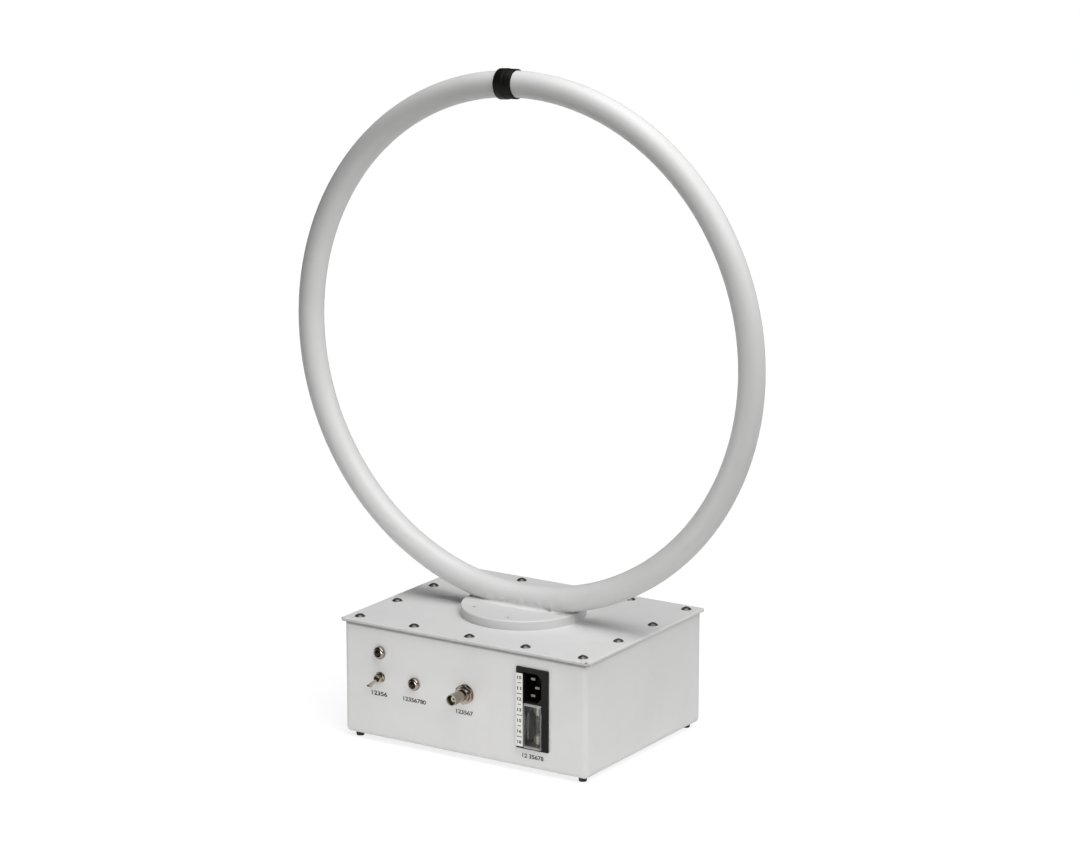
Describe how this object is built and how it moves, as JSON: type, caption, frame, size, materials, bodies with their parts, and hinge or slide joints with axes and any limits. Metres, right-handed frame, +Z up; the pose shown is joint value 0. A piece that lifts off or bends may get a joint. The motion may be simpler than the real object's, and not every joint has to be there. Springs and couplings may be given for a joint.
{
  "type": "radio loop antenna",
  "caption": "Round shielded loop antenna standing on a mains-powered amplifier box with a toggle switch, lamps, a bayonet output and a fused inlet.",
  "frame": {"origin": "centre of the part's outline on the floor, under the feet", "axes": "+Z up, +X to the right seen from the front, +Y to the back, so the front panel faces -Y"},
  "size_m": [0.4499, 0.2048, 0.5576],
  "materials": {
    "white_paint": "satin white paint",
    "painted_screw": "paint over steel",
    "bead": "white sealant",
    "dark_steel": "turned stainless",
    "zinc": "zinc plated",
    "nickel": "bright nickel",
    "brass": "bare brass",
    "contact_metal": "tin plated",
    "black_insulator": "satin black",
    "black_plastic": "moulded black",
    "grey_plastic": "moulded dark grey",
    "clear_plastic": "clear moulding",
    "glass": "clear tube",
    "white_plastic": "natural nylon",
    "lens": "dark red lens",
    "rubber": "moulded rubber",
    "label": "plain white label",
    "board": "green laminate",
    "chip": "moulded package",
    "capacitor": "blue sleeve",
    "terminal": "blue moulding",
    "can": "tinned plate",
    "laminations": "varnished laminations",
    "coil": "taped winding",
    "wire": "insulated wire",
    "coax": "black jacket"
  },
  "bodies": {
    "base": {"box_shell": "white_paint", "box_lid": "white_paint", "lid_screws": "dark_steel", "lid_nuts": "zinc", "rubber_feet": "rubber", "tripod_bush": "zinc", "loop_base": "white_paint", "base_screws": "painted_screw", "base_nuts": "zinc", "loop_tube": "white_paint", "gap_insulator": "black_insulator", "loop_winding": "wire", "winding_spacers": "white_plastic", "seat_bead": "bead", "lead_bush": "white_plastic", "amplifier_board": "board", "board_standoffs": "brass", "board_screws": "zinc", "input_terminal": "terminal", "shield_can": "can", "board_chips": "chip", "board_capacitors": "capacitor", "transformer_core": "laminations", "transformer_coil": "coil", "transformer_strap": "can", "transformer_screws": "zinc", "inlet_housing": "black_plastic", "inlet_clips": "zinc", "inlet_pins": "contact_metal", "filter_can": "can", "filter_tabs": "contact_metal", "fuse_glass": "glass", "fuse_caps": "contact_metal", "fuse_clips": "brass", "fuse_lever": "grey_plastic", "voltage_card": "board", "inlet_label": "label", "switch_case": "terminal", "switch_bushing": "nickel", "switch_washer": "nickel", "switch_nut": "nickel", "switch_pin": "zinc", "switch_terminals": "contact_metal", "lamp_bezels": "nickel", "lamp_lights": "lens", "lamp_nuts": "zinc", "output_body": "nickel", "output_insulator": "white_plastic", "output_contact": "brass", "output_washer": "nickel", "output_nut": "nickel", "output_coax": "coax", "mains_leads": "wire", "signal_leads": "wire"},
    "fuse_door": {"fuse_door": "clear_plastic"},
    "switch_lever": {"switch_lever": "nickel"},
    "switch_rocker": {"switch_rocker": "brass"}
  },
  "joints": [
    {"name": "power_toggle", "type": "hinge", "parent": "base", "child": "switch_lever", "pos_m": [-0.082, -0.0844, 0.057], "axis": [-1, 0, 0], "range_deg": [0, 28]},
    {"name": "rocker_tilt", "type": "hinge", "parent": "base", "child": "switch_rocker", "pos_m": [-0.082, -0.0716, 0.057], "axis": [1, 0, 0], "range_deg": [0, 20]},
    {"name": "door_slide", "type": "slide", "parent": "base", "child": "fuse_door", "axis": [0, 0, 1], "range_m": [0, 0.0265]}
  ],
  "couplings": [
    {"joint": "rocker_tilt", "follows": "power_toggle", "ratio": 0.714}
  ]
}
